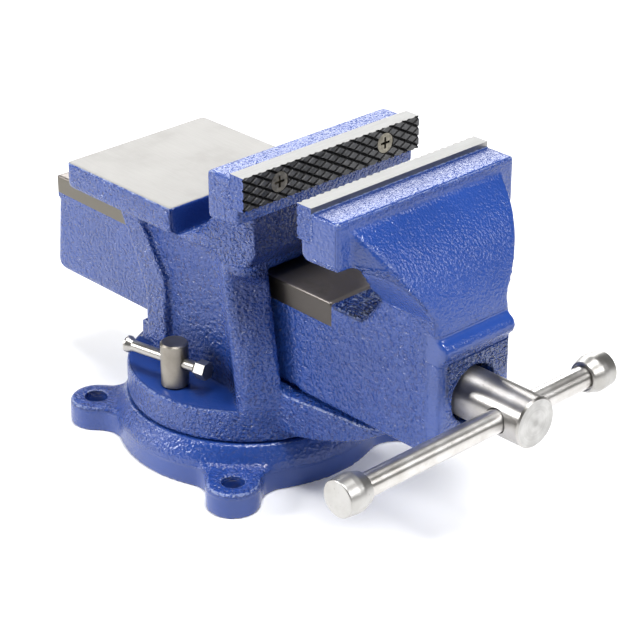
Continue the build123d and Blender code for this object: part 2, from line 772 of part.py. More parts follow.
os.makedirs("parts", exist_ok=True)
for node, shape in build().items():
    export_step(shape, f"parts/{node}.step")
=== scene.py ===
"""Looks of the bench vise: softened castings, paint, bare steel, light and camera.

Named lengths are millimetres, in the part's own frame. Only the lamps, floor_half, camera_near and
camera_far are metres, as Blender's own lengths are. A stretch is three lengths: from, to, and the width over
which it fades at both ends. Its name ends in the axis it runs along; side is the distance from the middle
plane, and radius the distance from the swivel's axis.
"""
import math

import bpy
import numpy as np
from mathutils import Matrix, Vector


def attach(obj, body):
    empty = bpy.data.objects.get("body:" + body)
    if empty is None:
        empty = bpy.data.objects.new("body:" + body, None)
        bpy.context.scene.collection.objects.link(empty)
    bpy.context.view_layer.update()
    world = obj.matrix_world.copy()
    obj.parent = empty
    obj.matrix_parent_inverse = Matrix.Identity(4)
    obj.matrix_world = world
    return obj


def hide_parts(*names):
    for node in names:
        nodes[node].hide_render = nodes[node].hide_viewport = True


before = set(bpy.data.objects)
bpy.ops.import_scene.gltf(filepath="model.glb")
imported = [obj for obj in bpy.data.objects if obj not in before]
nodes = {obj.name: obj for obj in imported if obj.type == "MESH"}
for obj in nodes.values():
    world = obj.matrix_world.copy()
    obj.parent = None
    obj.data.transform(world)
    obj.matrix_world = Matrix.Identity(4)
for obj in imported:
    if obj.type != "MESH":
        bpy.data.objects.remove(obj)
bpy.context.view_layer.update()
scene = bpy.context.scene
mm = 0.001

# Places on the castings
anvil_top = 118.4
anvil_front = -3.8
ledge_top = 37.0
trunk_top = 106.0
casting_top = 151.2
head_rear = 30.0
neck_half = 37.0
seat_bottom = 139.0
fixed_plate_back = 47.0
moving_plate_back = 94.5
strip_bottom = 85.0
strip_slope = 0.014
strip_top = 96.0
strip_front = 75.0
lip_height = 95.5
spindle_height = 70.3
jaw_top = 153.4
jaw_half = 50.0
fixed_grip = 55.0
moving_grip = 86.5
groove_depth = 0.8

# Saddle between the anvil and the rear jaw head: a ramp whose height is a curve along x
saddle_low = 105.3
saddle_slope = 0.52
saddle_curve = 0.0075
saddle_reach = 5.0

# Front columns of the fixed jaw, whose outer faces turn to the front as they rise
column_ridge_low = 37.0
column_ridge_high = 24.0
column_inside = 26.0
column_half = 37.0
column_depth = 16.0
column_turn = 0.56
column_turn_gain = 1.3
column_turn_z = (ledge_top, 97.0, 4.0)

# Stretches of both jaws
flat_top_z = (casting_top - 1.5, casting_top + 1, 0.5)
seat_z = (seat_bottom - 2, casting_top - 1, 1.0)

# Stretches of the fixed jaw
fixed_seat_x = (fixed_plate_back - 2, 60.0, 0.4)
ground_x = (-90.0, anvil_front + 2, 1.0)
ground_z = (anvil_top - 0.9, anvil_top + 1, 0.4)
anvil_front_x = (anvil_front - 1, anvil_front + 1, 0.4)
anvil_front_z = (103.0, anvil_top - 0.4, 0.4)
saddle_x = (anvil_front - 1, head_rear, 2.0)
saddle_z = (106.0, 131.0, 1.0)
neck_front_x = (36.0, 60.0, 3.0)
neck_front_z = (98.0, 131.0, 3.0)
neck_side_x = (8.0, 48.0, 8.0)
neck_side_side = (neck_half - 2, neck_half + 2, 1.0)
neck_side_z = (103.0, 131.0, 3.0)
column_x = (8.0, 60.0, 4.0)
column_root_x = (8.0, 26.0, 6.0)
column_side = (25.5, 60.0, 3.0)
column_z = (ledge_top - 1, 118.0, 4.0)
wall_x = (-18.0, 33.0, 4.0)
wall_side = (25.0, 36.0, 2.0)
wall_foot_z = (ledge_top + 1, 56.0, 8.0)
ledge_radius = (0.0, 54.4, 0.8)
ledge_z = (ledge_top - 0.8, ledge_top + 1.5, 0.8)
foot_x = (28.0, 60.0, 8.0)
foot_z = (20.0, ledge_top - 1, 2.0)

# Stretches of the fixed jaw where shade is painted into the paint; the painted shade on a column starts past
# its ridge and deepens as it rises
dark_neck_x = (41.0, 60.0, 2.0)
dark_neck_z = (96.0, 131.0, 2.0)
dark_column_past_ridge = 3.0
dark_column_front = 60.0
dark_column_fade = 4.0
dark_column_side = (22.0, 45.0, 1.0)
dark_column_z = (50.0, 101.0, 4.0)
dark_column_start = 52.0
dark_column_rise = 30.0
dark_wall_z = (ledge_top + 1, 52.0, 10.0)

# Stretches of the moving jaw
moving_seat_x = (84.0, moving_plate_back + 2, 0.4)
throat_foot_x = (86.0, 100.0, 3.0)
throat_foot_z = (92.0, 106.0, 3.0)
ways_x = (-120.0, strip_front + 0.8, 0.6)
ways_z = (strip_bottom - 0.6, strip_top + 1, 0.5)
front_x = (104.0, 150.0, 3.0)
front_z = (100.0, 149.0, 2.0)
lip_x = (128.0, 145.0, 2.0)
lip_z = (lip_height - 6.5, lip_height + 6.5, 1.0)
block_front_x = (130.0, 145.0, 2.0)
wrinkled_y = (-17.0, 60.0, 2.0)
wrinkled_z = (74.0, lip_height - 4, 6.0)
block_edge_y = (-30.0, -17.0, 2.0)
block_edge_z = (40.0, lip_height - 4, 2.0)
bar_end_side = (jaw_half - 1.5, jaw_half + 1, 0.5)
# Stretch of the moving jaw's top, beside the plate, where shade is painted
dark_bar_x = (88.0, 104.0, 6.0)
scoop_x = (strip_front, 96.0, 1.0)
scoop_z = (88.0, 99.0, 1.0)
throat_x = (90.0, 116.0, 2.0)
throat_z = (94.0, 131.0, 1.0)
upright_x = (95.0, 136.0, 2.0)
flank_z = (112.0, 132.0, 1.0)
flank_inside = 24.0
flare_side = (19.0, 45.0, 1.0)
flare_z = (104.0, 131.0, 2.0)

# Stretches of the base
lug_root_radius = (57.0, 68.0, 3.0)
lug_root_z = (3.0, 18.0, 2.0)
lug_radius = (61.0, 90.0, 3.0)
base_left_x = (-90.0, 0.0, 30.0)
base_wall_z = (-1.0, 10.0, 2.0)

# How the castings are made soft
voxel = 0.9
edge_passes = 5
column_root_passes = 14
root_passes = 10
most_faces = 130000

# Paint
light_blue = (0.0165, 0.058, 0.28)
plain_blue = (0.0125, 0.047, 0.235)
pit_blue = (0.006, 0.02, 0.13)
# Colour of the paint where shade is painted
painted_shade_blue = (0.004, 0.013, 0.085)
# Colour of painted highlights on edges and wrinkle crests
painted_highlight_blue = (0.26, 0.32, 0.52)
paint_relief = 2.1
swell_relief = 0.25
paint_gleam = 0.5
# Gleam of the paint where shade is painted
painted_shade_gleam = 0.12
paint_index = 1.6
plate_end_grain = 0.6

# Bare steel of the castings
anvil_steel = (0.32, 0.313, 0.30)
dull_anvil_steel = (0.288, 0.28, 0.267)
ways_steel = (0.22, 0.197, 0.185)
dull_ways_steel = (0.15, 0.135, 0.125)
# Shares of the bare steel's upright sides: darker in front, lighter towards the rear
front_side_share = 0.5
rear_side_shares = (0.92, 0.94, 0.85)

# Turned steel
bright_steel = (0.66, 0.65, 0.64)
dull_steel = (0.53, 0.515, 0.495)
speck_brown = (0.16, 0.145, 0.13)
faced_light = (0.52, 0.515, 0.505)
faced_dull = (0.42, 0.415, 0.405)
faced_centre = (0.36, 0.355, 0.345)

# Steel of the jaw plates
plate_steel = (0.30, 0.295, 0.29)
worn_flat = (0.10, 0.10, 0.104)
dark_flat = (0.035, 0.036, 0.038)
groove_black = (0.008, 0.008, 0.009)
ground_light = (0.32, 0.32, 0.315)
ground_dull = (0.27, 0.27, 0.265)

# Small fasteners
screw_steel = (0.27, 0.25, 0.205)
nut_iron = (0.20, 0.19, 0.18)
fastener_steel = (0.55, 0.55, 0.54)

# Studio: the floor glows faintly near the part, and far off as bright as white
world_light = 0.10
floor_half = 20.0
floor_light = (0.92, 0.92, 0.92)
floor_dull = (0.90, 0.90, 0.90)
floor_near = 1000.0
floor_far = 2800.0
near_glow = 0.09
far_glow = 1.0

# Lamps: name, place, aim, size and watts
lamps = (
    ("back softbox", (-1.53, 1.29, 1.2), (0, 0, 0.1), (1.5, 1.1), 34),
    ("top softbox", (0.35, -0.1, 1.7), (0, 0, 0.05), (0.6, 0.6), 33),
    ("left softbox", (-1.15, -1.45, 1.0), (-0.2, -0.2, 0.0), (0.7, 0.6), 34),
    ("front softbox", (1.6, 0.5, 1.15), (0.05, 0, 0.08), (0.9, 0.8), 16),
)

# Camera, as fitted to the photograph
camera_azimuth = 46.791
camera_elevation = 26.83
camera_roll = -0.111
camera_distance = 945.583
camera_target = (50.967, -4.308, 73.478)
camera_lens = 124.52
camera_sensor = 36.0
camera_near = 0.05
camera_far = 50


def between(value, low, high, soft):
    """1 where value lies from low to high, falling to 0 over soft on both sides."""
    rise = np.clip((value - low) / soft + 0.5, 0, 1)
    fall = np.clip((high - value) / soft + 0.5, 0, 1)
    return rise * fall


def even_mesh(node):
    """A copy of a CAD node's surface as an even net of small faces."""
    work = bpy.data.objects.new("work", nodes[node].data.copy())
    scene.collection.objects.link(work)
    remesh = work.modifiers.new("remesh", "REMESH")
    remesh.mode = "VOXEL"
    remesh.voxel_size = voxel * mm
    shape = work.evaluated_get(bpy.context.evaluated_depsgraph_get())
    mesh = bpy.data.meshes.new_from_object(shape)
    bpy.data.objects.remove(work)
    return mesh


def mesh_points(mesh):
    """A mesh's points as rows of x, y, z in millimetres."""
    flat = np.empty(len(mesh.vertices) * 3, np.float32)
    mesh.vertices.foreach_get("co", flat)
    return flat.reshape(-1, 3).astype(float) / mm


def mesh_normals(mesh):
    """A mesh's point normals as rows."""
    flat = np.empty(len(mesh.vertices) * 3, np.float32)
    mesh.vertex_normals.foreach_get("vector", flat)
    return flat.reshape(-1, 3).astype(float)


def mesh_edges(mesh):
    """A mesh's edges as pairs of point numbers."""
    flat = np.empty(len(mesh.edges) * 2, np.int32)
    mesh.edges.foreach_get("vertices", flat)
    return flat.reshape(-1, 2)


def keep_value(mesh, name, values):
    """Keeps one number at each point of a mesh."""
    kept = mesh.attributes.new(name, "FLOAT", "POINT")
    kept.data.foreach_set("value", values.astype(np.float32))


def relaxed(points, edges, passes):
    """Points drawn towards the middle of their neighbours, each as many times as passes says."""
    first, second = edges[:, 0], edges[:, 1]
    size = len(points)
    count = np.maximum(np.bincount(edges.ravel(), minlength=size), 1)
    for number in range(int(math.ceil(passes.max()))):
        share = 0.5 * np.clip(passes - number, 0, 1)
        for axis in range(3):
            line = points[:, axis]
            total = np.bincount(first, line[second], size) + np.bincount(second, line[first], size)
            points[:, axis] = line + share * (total / count - line)
    return points


def outward_turn(points, normals, edges):
    """How sharply the surface bends outwards at each point, per millimetre, as the mean along its edges."""
    first, second = edges[:, 0], edges[:, 1]
    gap = points[second] - points[first]
    square = np.maximum((gap ** 2).sum(1), 1e-9)
    from_first = -2 * (gap * normals[first]).sum(1) / square
    from_second = 2 * (gap * normals[second]).sum(1) / square
    total = np.bincount(first, from_first, len(points)) + np.bincount(second, from_second, len(points))
    return total / np.maximum(np.bincount(edges.ravel(), minlength=len(points)), 1)


def seated(points, seat):
    """Points with the corners of a jaw plate's seat drawn out to the plate, so that paint closes the seam."""
    x, y, z = points.T
    reach = 0.8 * voxel
    face = (np.abs(x - seat) < reach) & (z > seat_bottom)
    corner = face & (jaw_half - np.abs(y) < reach)
    points[face, 0] = seat
    points[corner, 1] = np.sign(y[corner]) * jaw_half
    return points


def trunk_rise(height):
    """0 up to the ledge, 1 from the top of the trunk on."""
    return np.clip((height - ledge_top) / (trunk_top - ledge_top), 0, 1)


def ridge_at(height):
    """How far forward the ridge of a front column lies at a height."""
    return column_ridge_low + trunk_rise(height) * (column_ridge_high - column_ridge_low)


def columns_turned(points):
    """Points with the outer faces of the front columns turned to the front, more towards their top."""
    x, y, z = points.T
    past_ridge = np.clip(x - ridge_at(z), 0, column_depth)
    outer = np.clip((np.abs(y) - column_inside) / (column_half - column_inside), 0, 1)
    turn = column_turn * np.clip(column_turn_gain * trunk_rise(z), 0, 1) * between(z, *column_turn_z)
    points[:, 1] = y - np.sign(y) * turn * past_ridge * outer
    return points


def saddle_ramped(points, normals):
    """Points with the fixed jaw's saddle drawn to a ramp that rises from the anvil's lower edge."""
    x, y, z = points.T
    along = x - anvil_front
    ramp = saddle_low + saddle_slope * along + saddle_curve * along ** 2
    near = (along > 0) & (x < head_rear) & (np.abs(y) < neck_half + voxel) & (z > saddle_low - voxel)
    floor = near & (normals[:, 2] > 0.25)
    above = near & (z > ramp) & (z < saddle_low + saddle_reach)
    points[:, 2] = np.where(floor | above, ramp, z)
    return points


def fixed_shape(points, normals):
    """The fixed jaw's points with its columns turned and its saddle ramped."""
    return saddle_ramped(columns_turned(points), normals)


def casting(node, body, passes_at, grain_at, painted_shade_at=None, seat=None, shape_at=None):
    """A soft-edged copy of a cast node; its paint's grain, sharp edges and painted shade are kept at each
    point.
    """
    mesh = even_mesh(node)
    points = mesh_points(mesh)
    normals = mesh_normals(mesh)
    if shape_at is not None:
        points = shape_at(points, normals)
    points = relaxed(points, mesh_edges(mesh), passes_at(points))
    if seat is not None:
        points = seated(points, seat)
    mesh.vertices.foreach_set("co", (points * mm).astype(np.float32).ravel())
    mesh.update()

    piece = bpy.data.objects.new(node + "_cast", mesh)
    scene.collection.objects.link(piece)
    shrink = piece.modifiers.new("fewer faces", "DECIMATE")
    shrink.ratio = min(1.0, most_faces / (2 * len(mesh.polygons)))
    shape = piece.evaluated_get(bpy.context.evaluated_depsgraph_get())
    fewer = bpy.data.meshes.new_from_object(shape)
    piece.modifiers.clear()
    piece.data = fewer
    fewer.polygons.foreach_set("use_smooth", np.ones(len(fewer.polygons), bool))
    points = mesh_points(fewer)
    normals = mesh_normals(fewer)
    keep_value(fewer, "grain", grain_at(points, normals))
    keep_value(fewer, "sharp", outward_turn(points, normals, mesh_edges(fewer)))
    # Painted shade, where given, is kept at each point
    if painted_shade_at is not None:
        keep_value(fewer, "painted_shade", painted_shade_at(points, normals))
    fewer.materials.clear()
    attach(piece, body)
    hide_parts(node)
    return piece


def flat_tops(z, normals):
    """1 on the flat tops of the jaw heads."""
    return between(z, *flat_top_z) * (normals[:, 2] > 0.8)


def ledge_flat(z, normals):
    """1 on the flat of the fixed jaw's ledge."""
    return between(z, *ledge_z) * (normals[:, 2] > 0.7)


def fixed_passes(points):
    """Softening of the fixed jaw: small on edges, large where the columns grow out of the walls."""
    x, y, z = points.T
    passes = np.full(len(points), float(edge_passes))
    column = between(x, *column_x) * between(np.abs(y), *column_side) * between(z, *column_z)
    passes += column_root_passes * column * between(x, *column_root_x)
    ground = between(z, *ground_z) * between(x, *ground_x)
    passes *= 1 - 0.8 * ground
    seat = between(x, *fixed_seat_x) * between(z, *seat_z)
    return passes * (1 - seat)


def fixed_grain(points, normals):
    """Grain of the fixed jaw's paint: smooth on the ledge and the saddle, coarse on the neck and the foot."""
    x, y, z = points.T
    side = np.abs(y)
    grain = np.full(len(points), 0.75)
    ledge = ledge_flat(z, normals) * between(np.hypot(x, y), *ledge_radius)
    grain = grain * (1 - 0.92 * ledge)
    neck_front = between(x, *neck_front_x) * between(z, *neck_front_z)
    neck_side = between(x, *neck_side_x) * between(z, *neck_side_z) * between(side, *neck_side_side)
    grain += np.maximum(0.45 * neck_front, 0.6 * neck_side)
    grain = grain * (1 - 0.6 * flat_tops(z, normals))
    saddle = between(x, *saddle_x) * between(z, *saddle_z) * (np.abs(normals[:, 1]) < 0.5)
    grain = grain * (1 - 0.85 * saddle)
    wall_foot = between(z, *wall_foot_z) * between(x, *wall_x) * between(side, *wall_side)
    grain = grain * (1 - 0.3 * wall_foot)
    foot = between(z, *foot_z) * between(x, *foot_x)
    return grain + 0.35 * foot


def fixed_painted_shade(points, normals):
    """Painted shade on the fixed jaw's paint: in the throat, beside the columns, under the anvil's front, at
    the wall's foot and a little on the ledge.
    """
    x, y, z = points.T
    side = np.abs(y)
    to_front = np.clip(2 * normals[:, 0], 0, 1)
    # Each stretch below is painted shade: darker, duller paint where the body shades itself
    neck = between(x, *dark_neck_x) * between(z, *dark_neck_z) * to_front
    rise = np.clip((z - dark_column_start) / dark_column_rise, 0, 1)
    past_ridge = between(x, ridge_at(z) + dark_column_past_ridge, dark_column_front, dark_column_fade)
    column = past_ridge * between(side, *dark_column_side) * between(z, *dark_column_z) * rise
    anvil = between(x, *anvil_front_x) * between(z, *anvil_front_z) * to_front
    wall_foot = between(z, *dark_wall_z) * between(x, *wall_x) * between(side, *wall_side)
    ledge = ledge_flat(z, normals)
    return np.max([0.75 * neck, 0.7 * column, 0.7 * anvil, 0.6 * wall_foot, 0.3 * ledge], axis=0)


def moving_passes(points):
    """Softening of the moving jaw: least on the machined ways, most at the foot of the throat."""
    x, _, z = points.T
    passes = np.full(len(points), float(edge_passes))
    throat_foot = between(x, *throat_foot_x) * between(z, *throat_foot_z)
    passes += root_passes * throat_foot
    ways = between(x, *ways_x) * between(z, *ways_z)
    passes *= 1 - 0.85 * ways
    seat = between(x, *moving_seat_x) * between(z, *seat_z)
    return passes * (1 - seat)


def moving_grain(points, normals):
    """Grain of the moving jaw's paint: fine on the round front, coarse under the lip and in the scoop."""
    x, y, z = points.T
    side = np.abs(y)
    grain = np.full(len(points), 0.6)
    front = between(x, *front_x) * between(z, *front_z) * (normals[:, 0] > 0.15)
    grain = grain * (1 - 0.75 * front)
    lip = between(x, *lip_x) * between(z, *lip_z)
    grain = grain * (1 - 0.85 * lip)
    under_lip = between(x, *block_front_x) * between(z, *wrinkled_z) * (normals[:, 0] > 0.5)
    grain += 1.1 * under_lip * between(y, *wrinkled_y)
    block_edge = between(x, *block_front_x) * between(z, *block_edge_z) * between(y, *block_edge_y)
    grain = grain * (1 - 0.75 * block_edge)
    grain = grain * (1 - 0.75 * flat_tops(z, normals))
    bar_end = between(side, *bar_end_side) * (np.abs(normals[:, 1]) > 0.8)
    grain = grain * (1 - 0.5 * bar_end)
    scoop = between(x, *scoop_x) * between(z, *scoop_z) * (normals[:, 2] > 0.4)
    throat = between(x, *throat_x) * between(z, *throat_z) * (normals[:, 0] < -0.3)
    grain += np.maximum(1.6 * scoop, 0.6 * throat)
    upright = between(x, *upright_x)
    flank = upright * between(z, *flank_z) * (np.abs(normals[:, 1]) > 0.45) * (side > flank_inside)
    grain += 0.6 * flank
    flare = upright * between(side, *flare_side) * between(z, *flare_z) * (normals[:, 2] < -0.35)
    return grain * (1 - 0.8 * flare)


def moving_painted_shade(points, normals):
    """Painted shade on the moving jaw's paint: a little on top, beside the jaw plate."""
    x, _, z = points.T
    return 0.45 * flat_tops(z, normals) * between(x, *dark_bar_x)


def base_passes(points):
    """Softening of the base: larger where the lugs run into the wall."""
    x, y, z = points.T
    passes = np.full(len(points), float(edge_passes))
    return passes + root_passes * between(np.hypot(x, y), *lug_root_radius) * between(z, *lug_root_z)


def base_grain(points, normals):
    """Grain of the base's paint: coarse on the lugs and on the left, fine at the front and on the wall."""
    x, y, z = points.T
    grain = 0.3 + 0.45 * between(x, *base_left_x)
    lugs = between(np.hypot(x, y), *lug_radius) * (normals[:, 2] > 0.4)
    grain += 0.35 * lugs
    wall = between(z, *base_wall_z) * (normals[:, 2] < 0.4)
    return grain * (1 - 0.85 * wall)


class Shader:
    """One material with a principled shader, and short calls that add nodes to it."""

    def __init__(self, name):
        self.material = bpy.data.materials.new(name)
        self.material.use_nodes = True
        self.tree = self.material.node_tree
        self.out = self.tree.nodes["Principled BSDF"]
        self.place = self.add("TexCoord")
        axes = self.add("SeparateXYZ")
        self.wire(self.place.outputs["Object"], axes.inputs[0])
        self.x, self.y, self.z = [self.math("DIVIDE", axis, mm) for axis in axes.outputs]
        facing = self.add("SeparateXYZ")
        self.wire(self.place.outputs["Normal"], facing.inputs[0])
        self.facing_x, _, self.facing_z = facing.outputs

    def add(self, kind, **settings):
        """A new node with its settings."""
        made = self.tree.nodes.new("ShaderNode" + kind)
        for name, value in settings.items():
            setattr(made, name, value)
        return made

    def wire(self, value, socket):
        """Links a socket, or sets a plain value."""
        if isinstance(value, bpy.types.NodeSocket):
            self.tree.links.new(value, socket)
        else:
            socket.default_value = value

    def math(self, operation, first, second=0.0):
        """One sum of two numbers, sockets or plain."""
        made = self.add("Math", operation=operation)
        self.wire(first, made.inputs[0])
        self.wire(second, made.inputs[1])
        return made.outputs[0]

    def step(self, value, low, high):
        """0 below low, 1 above high, smooth between; low may be the larger."""
        made = self.add("MapRange", interpolation_type="SMOOTHSTEP")
        self.wire(value, made.inputs["Value"])
        ends = (low, high, 0.0, 1.0) if low < high else (high, low, 1.0, 0.0)
        for socket, end in zip(("From Min", "From Max", "To Min", "To Max"), ends):
            made.inputs[socket].default_value = end
        return made.outputs["Result"]

    def all_of(self, *values):
        """The product of shares."""
        total = values[0]
        for value in values[1:]:
            total = self.math("MULTIPLY", total, value)
        return total

    def distance(self, first, second):
        """The length of the long side over two short ones."""
        squares = [self.math("MULTIPLY", value, value) for value in (first, second)]
        return self.math("SQRT", self.math("ADD", *squares))

    def stretched(self, x, y, z):
        """The part's coordinates, each stretched by its own factor."""
        made = self.add("Mapping")
        self.wire(self.place.outputs["Object"], made.inputs["Vector"])
        made.inputs["Scale"].default_value = (x, y, z)
        return made.outputs[0]

    def noise(self, size, detail=2.0, roughness=0.5, at=None):
        """Noise whose features are about size millimetres across."""
        made = self.add("TexNoise")
        self.wire(at or self.place.outputs["Object"], made.inputs["Vector"])
        made.inputs["Scale"].default_value = 1 / (size * mm)
        made.inputs["Detail"].default_value = detail
        made.inputs["Roughness"].default_value = roughness
        return made.outputs["Fac"]

    def colour(self, value, *stops):
        """A colour ramp; each stop is a place and a colour."""
        made = self.add("ValToRGB")
        self.wire(value, made.inputs[0])
        for element, (place, colour) in zip(made.color_ramp.elements, stops):
            element.position = place
            element.color = (*colour, 1)
        return made.outputs[0]

    def mix(self, share, first, second):
        """Two colours, sockets or plain, mixed by share."""
        made = self.add("Mix", data_type="RGBA")
        self.wire(share, made.inputs["Factor"])
        for socket, value in ((made.inputs[6], first), (made.inputs[7], second)):
            self.wire(value if isinstance(value, bpy.types.NodeSocket) else (*value, 1), socket)
        return made.outputs[2]

    def blend(self, share, first, second):
        """Two numbers mixed by share."""
        made = self.add("Mix", data_type="FLOAT")
        for socket, value in zip(made.inputs[:1] + made.inputs[2:4], (share, first, second)):
            self.wire(value, socket)
        return made.outputs[0]

    def either_way(self, share, first, second):
        """Two directions mixed by share."""
        made = self.add("Mix", data_type="VECTOR")
        for socket, value in zip((made.inputs[0], made.inputs[4], made.inputs[5]), (share, first, second)):
            self.wire(value, socket)
        return made.outputs[1]

    def bump(self, height, depth, under=None):
        """A bump of depth millimetres for a height from 0 to 1."""
        made = self.add("Bump")
        made.inputs["Strength"].default_value = 1.0
        made.inputs["Distance"].default_value = depth * mm
        self.wire(height, made.inputs["Height"])
        if under is not None:
            self.wire(under, made.inputs["Normal"])
        return made.outputs[0]

    def set(self, **values):
        """Sets or links the principled shader's sockets; a name's spaces are written as _."""
        for name, value in values.items():
            self.wire(value, self.out.inputs[name.replace("_", " ")])


def tinted(colour, shares):
    """A colour with each of its parts multiplied by its own share."""
    return tuple(share * value for share, value in zip(shares, colour))


def paint(look, grain, sharp=None):
    """Blue hammered paint: its colour, roughness and bump, for a grain from 0, smooth, to 2, wrinkled.

    Where sharp is given, painted highlights lighten upward edges that bend outwards and crests of wrinkles.
    """
    cells = look.noise(1.4, detail=1.5)
    folds = look.noise(2.0, detail=1.0, at=look.stretched(0.8, 0.8, 1.5))
    coarse = look.step(grain, 0.9, 2.2)
    smooth = look.all_of(look.step(grain, 0.06, 0.12), look.step(grain, 0.28, 0.2))
    fine = look.math("MULTIPLY", look.noise(1.0, detail=1.0), look.math("MULTIPLY", smooth, 0.16))
    height = look.math("ADD", look.math("MULTIPLY", cells, grain),
                       look.math("MULTIPLY", folds, look.math("MULTIPLY", coarse, 2.5)))
    height = look.math("ADD", height, fine)
    swell = look.bump(look.noise(14.0, detail=1.0), swell_relief)
    bump = look.bump(height, paint_relief, swell)
    tone = look.noise(30.0, detail=3.0)
    blue = look.colour(tone, (0.3, plain_blue), (0.7, light_blue))
    pits = look.all_of(look.step(cells, 0.46, 0.34), look.step(grain, 0.2, 0.9))
    blue = look.mix(look.math("MULTIPLY", pits, 0.7), blue, pit_blue)
    if sharp is not None:
        # Painted highlight: lighter paint on outward edges that face up, and on the crests of coarse wrinkles
        painted_edge_highlight = look.all_of(look.step(sharp, 0.19, 0.3), look.step(look.noise(1.5, detail=2.0), 0.36, 0.5),
                             look.step(look.facing_z, 0.35, 0.6), look.step(grain, 0.25, 0.35))
        crests = look.all_of(look.step(grain, 1.4, 2.0), look.step(folds, 0.52, 0.60))
        light = look.math("MAXIMUM", look.math("MULTIPLY", painted_edge_highlight, 0.6), look.math("MULTIPLY", crests, 0.7))
        blue = look.mix(light, blue, painted_highlight_blue)
    return blue, look.blend(look.noise(6.0), 0.18, 0.28), bump


def paint_and_steel(name, bare_at, light_steel, worn_steel, shine, rough, with_painted_shade=False):
    """Blue hammered paint over cast iron, bare where bare_at says; shine is how metallic the bare iron looks.

    Where a casting has painted shade, its paint is darker and duller where its points keep it. The upright
    sides of the bare steel are darker in front and lighter towards the rear.
    """
    look = Shader(name)
    grain = look.add("Attribute", attribute_name="grain").outputs["Fac"]
    sharp = look.add("Attribute", attribute_name="sharp").outputs["Fac"]
    blue, rough_paint, painted_bump = paint(look, grain, sharp)
    if with_painted_shade:
        painted_shade = look.add("Attribute", attribute_name="painted_shade").outputs["Fac"]
        # Painted shade: darker, less glossy paint where the points keep it
        blue = look.mix(painted_shade, blue, painted_shade_blue)
        look.set(Specular_IOR_Level=look.blend(painted_shade, paint_gleam, painted_shade_gleam))

    bare = bare_at(look)
    lines = look.noise(1.0, detail=3.0, at=look.stretched(0.12, 2.2, 1.0))
    smudge = look.noise(18.0, detail=4.0, roughness=0.6)
    darker = tuple(0.92 * value for value in light_steel)
    steel = look.colour(lines, (0.25, darker), (0.75, light_steel))
    steel = look.mix(look.step(smudge, 0.5, 0.75), steel, worn_steel)
    # The upright sides of the bare steel are darker in front and lighter towards the rear
    front_side = tuple(front_side_share * value for value in worn_steel)
    rear_side = tinted(worn_steel, rear_side_shares)
    side = look.mix(look.step(look.x, 0.0, -50.0), front_side, rear_side)
    steel = look.mix(look.step(look.facing_z, 0.7, 0.3), steel, side)
    steel_bump = look.bump(lines, 0.02)

    look.set(Base_Color=look.mix(bare, blue, steel))
    look.set(Metallic=look.math("MULTIPLY", bare, shine))
    rough_steel = look.blend(smudge, rough - 0.08, rough + 0.08)
    look.set(Roughness=look.blend(bare, rough_paint, rough_steel))
    look.set(Normal=look.either_way(bare, painted_bump, steel_bump), IOR=paint_index)
    return look.material


def anvil_bare(look):
    """The anvil's ground top."""
    edge = look.math("ADD", look.z, look.math("MULTIPLY", look.noise(4.0), 0.3))
    above = look.step(edge, anvil_top - 0.35, anvil_top - 0.15)
    level = look.step(look.facing_z, 0.75, 0.9)
    behind = look.step(look.x, anvil_front + 0.4, anvil_front)
    return look.all_of(above, level, behind)


def ways_bare(look):
    """The machined ways along the top of the slide; their lower border rises a little to the rear."""
    border = strip_bottom + strip_slope * strip_front
    height = look.math("ADD", look.z, look.math("MULTIPLY", look.x, strip_slope))
    above = look.step(height, border - 0.1, border + 0.15)
    below = look.step(look.z, strip_top + 0.6, strip_top + 0.3)
    behind = look.step(look.x, strip_front + 0.5, strip_front + 0.2)
    return look.all_of(above, below, behind)


def worn_specks(look):
    """A few worn specks, on a casting that is painted all over."""
    return look.math("MULTIPLY", look.step(look.noise(3.0, detail=4.0), 0.78, 0.82), 0.5)


def turned_steel(name, axis, tint, rough, ring_depth=0.012, drawn=0.0, end_at=None):
    """Turned steel with fine rings along an axis, faint marks and small specks.

    drawn is how far the rings draw a highlight out; end_at is the height of a shaft's axis where
    its front end is faced.
    """
    look = Shader(name)
    stretch = {"X": (6.0, 0.25, 0.25), "Y": (0.25, 6.0, 0.25), "Z": (0.25, 0.25, 6.0)}[axis]
    rings = look.noise(1.4, detail=3.0, roughness=0.6, at=look.stretched(*stretch))
    smudge = look.noise(12.0, detail=4.0, roughness=0.6)
    specks = look.step(look.noise(1.6, detail=2.0), 0.70, 0.76)
    steel = look.colour(smudge, (0.35, tinted(dull_steel, tint)), (0.6, tinted(bright_steel, tint)))
    steel = look.mix(look.math("MULTIPLY", specks, 0.45), steel, speck_brown)
    if end_at is not None:
        steel, rings = faced_end(look, end_at, steel, rings)
    look.set(Base_Color=steel, Metallic=1.0, Anisotropic=drawn, Anisotropic_Rotation=0.25)
    look.set(Tangent=look.add("Tangent", direction_type="RADIAL", axis=axis).outputs[0])
    look.set(Roughness=look.math("ADD", look.blend(smudge, rough - 0.06, rough + 0.10),
                                 look.math("MULTIPLY", rings, 0.08)))
    look.set(Normal=look.bump(rings, ring_depth))
    return look.material


def faced_end(look, height, steel, rings):
    """Marks of the lathe on the front end of a shaft at a height: its colour and its rings."""
    radius = look.distance(look.y, look.math("SUBTRACT", look.z, height))
    along = look.add("CombineXYZ")
    look.wire(look.math("MULTIPLY", radius, mm), along.inputs[0])
    circles = look.noise(0.9, detail=2.0, at=along.outputs[0])
    blurred = look.noise(5.0, detail=3.0)
    end = look.step(look.facing_x, 0.8, 0.95)
    worn = look.math("ADD", look.math("MULTIPLY", circles, 0.4), look.math("MULTIPLY", blurred, 0.6))
    face = look.colour(worn, (0.4, faced_dull), (0.6, faced_light))
    face = look.mix(look.step(radius, 2.4, 0.8), face, faced_centre)
    return look.mix(end, steel, face), look.blend(end, rings, circles)


